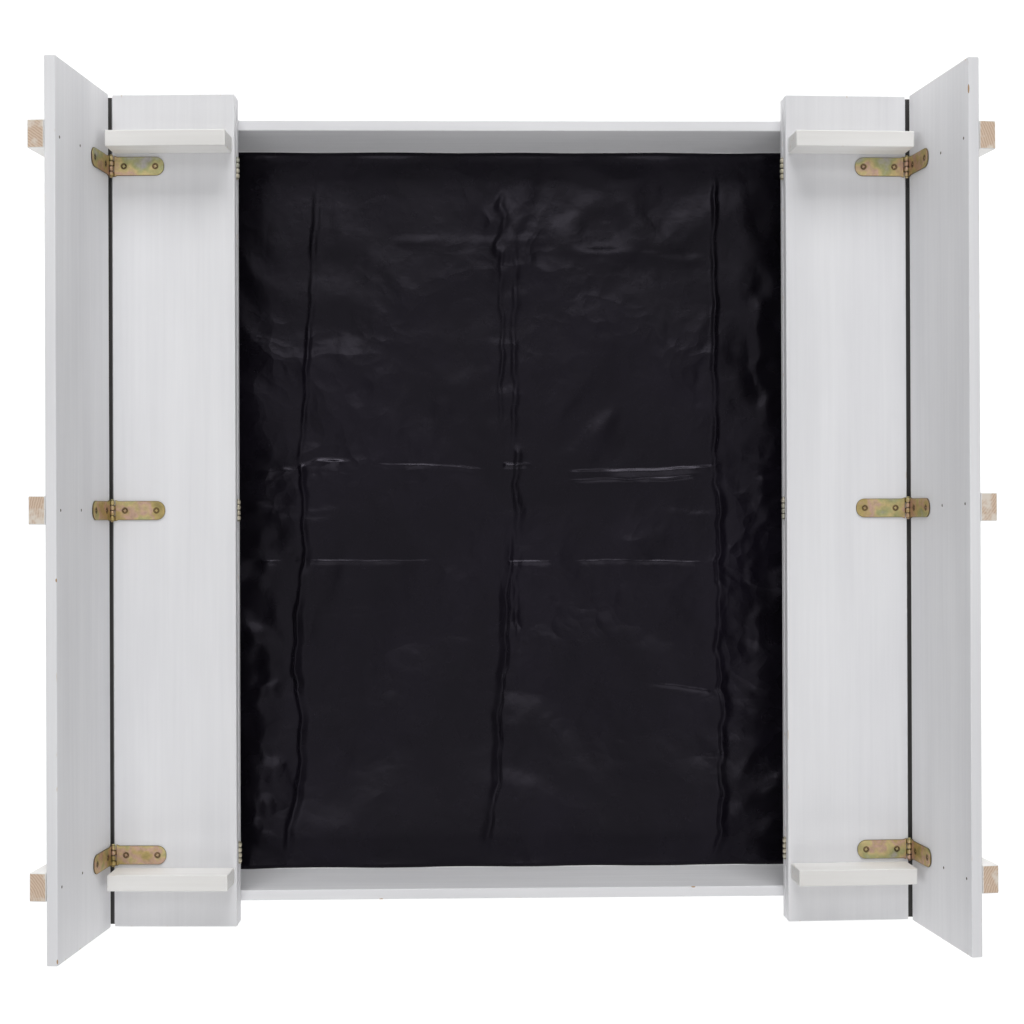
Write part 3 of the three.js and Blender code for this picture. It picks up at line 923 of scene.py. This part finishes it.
OVER_FOLDS = (
    (((-0.310, 0.046), (-0.262, 0.050), (-0.235, 0.060), (-0.198, 0.061)), 0.0030, 0.012, 0.0042, 0.0010),
    (((-0.168, 0.057), (-0.100, 0.055), (-0.033, 0.050)), 0.0012, 0.007, 0.0019, 0.0004),
    (((-0.008, 0.055), (0.024, 0.055)), 0.0016, 0.005, 0.0040, 0.0004),
    (((0.072, 0.047), (0.160, 0.046), (0.262, 0.053)), 0.0024, 0.010, 0.0038, 0.0006),
    (((0.072, 0.036), (0.150, 0.036), (0.235, 0.041)), 0.0016, 0.004, 0.0028, 0.0005),
    (((-0.325, 0.002), (-0.205, -0.004)), 0.0020, 0.008, 0.0080, 0.0020),
    (((0.190, -0.004), (0.285, -0.010)), 0.0016, 0.008, 0.0060, 0.0015),
    (((-0.305, -0.063), (-0.240, -0.062)), 0.0009, 0.006, 0.0016, 0.0005),
    (((-0.248, -0.062), (-0.092, -0.063)), 0.0010, 0.006, 0.0016, 0.0003),
    (((-0.002, -0.064), (0.050, -0.065)), 0.0014, 0.006, 0.0021, 0.0003),
    (((0.085, -0.064), (0.150, -0.063)), 0.0009, 0.006, 0.0017, 0.0003),
    (((0.150, -0.064), (0.236, -0.066)), 0.0013, 0.006, 0.0020, 0.0004),
    (((0.143, -0.033), (0.172, -0.062)), 0.0012, 0.004, 0.0022, 0.0004),
    (((-0.245, -0.123), (-0.105, -0.121)), 0.0010, 0.005, 0.0032, 0.0015),
    (((0.030, -0.118), (0.130, -0.122)), 0.0008, 0.005, 0.0035, 0.0012),
    (((0.168, -0.214), (0.250, -0.225)), 0.0011, 0.005, 0.0019, 0.0004),
    (((-0.150, 0.330), (0.060, 0.332)), 0.0008, 0.006, 0.0050, 0.0010),
    (((0.060, 0.322), (0.250, 0.306)), 0.0013, 0.007, 0.0050, 0.0016),
)
# Crumpled places: middle, reach across and along, and slope of the facets.
CRUMPLES = (
    ((0.130, 0.365), (0.080, 0.060), 0.085),
    ((0.215, 0.345), (0.040, 0.050), 0.070),
    ((0.105, 0.105), (0.045, 0.045), 0.080),
    ((-0.100, 0.120), (0.090, 0.050), 0.050),
    ((0.000, 0.350), (0.045, 0.070), 0.080),
    ((0.000, 0.200), (0.030, 0.140), 0.050),
    ((-0.200, 0.250), (0.060, 0.160), 0.030),
    ((-0.330, 0.200), (0.050, 0.200), 0.035),
    ((-0.310, -0.100), (0.045, 0.110), 0.120),
    ((-0.330, -0.350), (0.050, 0.100), 0.150),
    ((0.320, 0.250), (0.050, 0.150), 0.070),
    ((0.325, 0.030), (0.050, 0.070), 0.140),
    ((0.320, -0.120), (0.045, 0.080), 0.130),
    ((0.320, -0.330), (0.050, 0.120), 0.100),
    ((0.010, -0.280), (0.040, 0.160), 0.050),
    ((-0.180, -0.100), (0.060, 0.050), 0.040),
    ((0.060, -0.100), (0.060, 0.040), 0.040),
    ((0.000, 0.000), (0.600, 0.600), 0.014),
)
FACET_GAIN = 1.6  # makes every crumpled place steeper by the same share
FACET_LENGTHS = (0.028, 0.100)  # spacing of the creases in a crumpled place

# Where the grid lines lie closer together, at the folds: place and reach.
CLOSE_ACROSS = ((-0.258, 0.016), (-0.008, 0.018), (0.257, 0.012))
CLOSE_ALONG = ((0.055, 0.010), (0.040, 0.006), (-0.063, 0.005), (-0.219, 0.007))


def packed_lines(low, high, count, near, gain):
    """Grid lines from low to high that lie closer together near each (place, reach)."""
    fine = np.linspace(low, high, 4000)
    density = 1.0 + sum(gain * np.exp(-((fine - place) / reach) ** 2) for place, reach in near)
    total = np.concatenate([[0.0], np.cumsum((density[1:] + density[:-1]) / 2)])
    return np.interp(np.linspace(0.0, total[-1], count), total, fine)


def fold_height(along, off, fold, rng):
    """One fold: a ridge that falls evenly to nothing on each side of a broken line, with a sharp
    crest that wavers sideways and swells and fades along it."""
    line, height, low_width, high_width, waver = fold
    places = np.array(sorted(line))
    reach = places[-1, 0] - places[0, 0]
    phase = rng.uniform(0, 2 * math.pi, 5)
    sway = np.sin(47 * along + phase[0]) + 0.7 * np.sin(121 * along + phase[1])
    sway = sway + 0.4 * np.sin(263 * along + phase[4])
    away = off - np.interp(along, places[:, 0], places[:, 1]) - waver * sway
    swell = 0.8 + 0.25 * np.sin(37 * along + phase[2]) + 0.2 * np.sin(89 * along + phase[3])
    share = (along - places[0, 0]) / reach
    fade = np.clip(np.minimum(share, 1 - share) / 0.10, 0, 1)
    width = np.where(away > 0, high_width, low_width)
    crest = np.clip(1 - np.abs(away) / width, 0, 1)
    return height * swell * fade * (3 - 2 * fade) * fade * crest ** 1.15


def crumple_height(x, y, place, rng):
    """Facets: several sets of parallel creases, each an even zigzag, laid across one another and
    bent a little, strongest in the middle of the place and fading out from it."""
    (middle_x, middle_y), (reach_x, reach_y), slope = place
    window = np.exp(-((x - middle_x) / reach_x) ** 2 - ((y - middle_y) / reach_y) ** 2)
    bent_x = x + 0.007 * np.sin(29 * y + 11 * x + rng.uniform(0, 6))
    bent_y = y + 0.007 * np.sin(33 * x - 9 * y + rng.uniform(0, 6))
    total = np.zeros_like(x)
    for _ in range(6):
        turn = rng.uniform(0, math.pi)
        spacing = rng.uniform(*FACET_LENGTHS) * (1.0 if slope > 0.02 else 2.5)
        step = (bent_x * math.cos(turn) + bent_y * math.sin(turn)) / spacing + rng.uniform()
        total += FACET_GAIN * slope / math.sqrt(6) * spacing / 4 * (4 * np.abs(step - np.round(step)) - 1)
    return window * total


def film_surface():
    """Height of the film over the floor: folds where it was packed, crumpled places, and an edge that
    lifts a little where it meets the walls. It lies on the floor wherever it would go under."""
    low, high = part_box("ground_sheet")
    reach = 0.6 * MM
    across = packed_lines(low.x - reach, high.x + reach, 196, CLOSE_ACROSS, 2.5)
    along = packed_lines(low.y - reach, high.y + reach, 252, CLOSE_ALONG, 6.0)
    x, y = np.meshgrid(across, along)
    rng = np.random.default_rng(20)
    height = np.full_like(x, 1.0 * MM)
    for fold in UP_FOLDS:
        height += fold_height(y, x, fold, rng)
    for fold in OVER_FOLDS:
        height += fold_height(x, y, fold, rng)
    for place in CRUMPLES:
        height += crumple_height(x, y, place, rng)
    rim = np.minimum(np.minimum(x - low.x, high.x - x), np.minimum(y - low.y, high.y - y))
    lift = np.clip(1 - rim / 0.012, 0, 1) ** 2
    height += 0.0016 * lift * (1.2 + np.sin(38 * x + 1.0) + 0.6 * np.sin(61 * y))
    return np.stack([x, y, FILM_LIFT + np.maximum(height, 0.0)], axis=-1)


def make_film():
    upper = film_surface()
    rows, columns = upper.shape[:2]
    lower = upper - [0.0, 0.0, FILM_THICK]
    count = rows * columns
    index = np.arange(count).reshape(rows, columns)
    corners = [index[:-1, :-1], index[:-1, 1:], index[1:, 1:], index[1:, :-1]]
    face = np.stack(corners, axis=-1).reshape(-1, 4)
    loop = np.concatenate([index[0, :-1], index[:-1, -1], index[-1, :0:-1], index[:0:-1, 0]])
    after = np.roll(loop, -1)
    wall = np.stack([loop, loop + count, after + count, after], axis=-1)
    points = np.concatenate([upper.reshape(-1, 3), lower.reshape(-1, 3)])
    mesh = make_mesh("ground_film", points, [face, face[:, ::-1] + count, wall])
    piece = place_piece("ground_film", mesh, "box", [film], ["ground_sheet"])


make_film()
